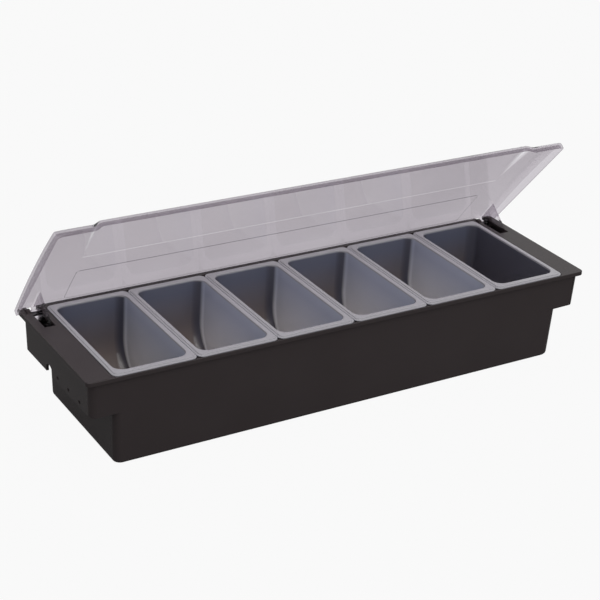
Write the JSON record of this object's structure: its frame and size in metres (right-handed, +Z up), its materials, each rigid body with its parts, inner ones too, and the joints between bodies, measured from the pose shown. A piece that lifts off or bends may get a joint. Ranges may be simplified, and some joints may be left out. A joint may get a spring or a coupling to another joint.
{
  "type": "condiment caddy",
  "caption": "Long black tray with hollow end grips, a row of grey lift-out pans and one clear hinged lid over them.",
  "frame": {"origin": "centre of the tray's flat base, where it stands on the counter", "axes": "+X runs along the tray, +Y points from the front to the hinge side, +Z points up"},
  "size_m": [0.4996, 0.145, 0.1918],
  "materials": {
    "tray": "black moulded plastic, satin with a fine grain",
    "lid": "clear moulded plastic, glossy, slightly smoky",
    "pan": "grey moulded plastic, smooth satin",
    "pin": "dark moulded plastic, smooth"
  },
  "bodies": {
    "tray": {"tray": "tray", "hinge_pin_left": "pin", "hinge_pin_right": "pin"},
    "lid": {"lid": "lid"},
    "pan_1": {"pan_1": "pan"},
    "pan_2": {"pan_2": "pan"},
    "pan_3": {"pan_3": "pan"},
    "pan_4": {"pan_4": "pan"},
    "pan_5": {"pan_5": "pan"},
    "pan_6": {"pan_6": "pan"}
  },
  "joints": [
    {"name": "lid_hinge", "type": "hinge", "parent": "tray", "child": "lid", "pos_m": [0, 0.065, 0.08], "axis": [-1, 0, 0], "range_deg": [-50, 0]},
    {"name": "pan_1_lift", "type": "slide", "parent": "tray", "child": "pan_1", "axis": [0, 0, 1], "range_m": [0, 0.0025]},
    {"name": "pan_2_lift", "type": "slide", "parent": "tray", "child": "pan_2", "axis": [0, 0, 1], "range_m": [0, 0.0025]},
    {"name": "pan_3_lift", "type": "slide", "parent": "tray", "child": "pan_3", "axis": [0, 0, 1], "range_m": [0, 0.0025]},
    {"name": "pan_4_lift", "type": "slide", "parent": "tray", "child": "pan_4", "axis": [0, 0, 1], "range_m": [0, 0.0025]},
    {"name": "pan_5_lift", "type": "slide", "parent": "tray", "child": "pan_5", "axis": [0, 0, 1], "range_m": [0, 0.0025]},
    {"name": "pan_6_lift", "type": "slide", "parent": "tray", "child": "pan_6", "axis": [0, 0, 1], "range_m": [0, 0.0025]}
  ]
}
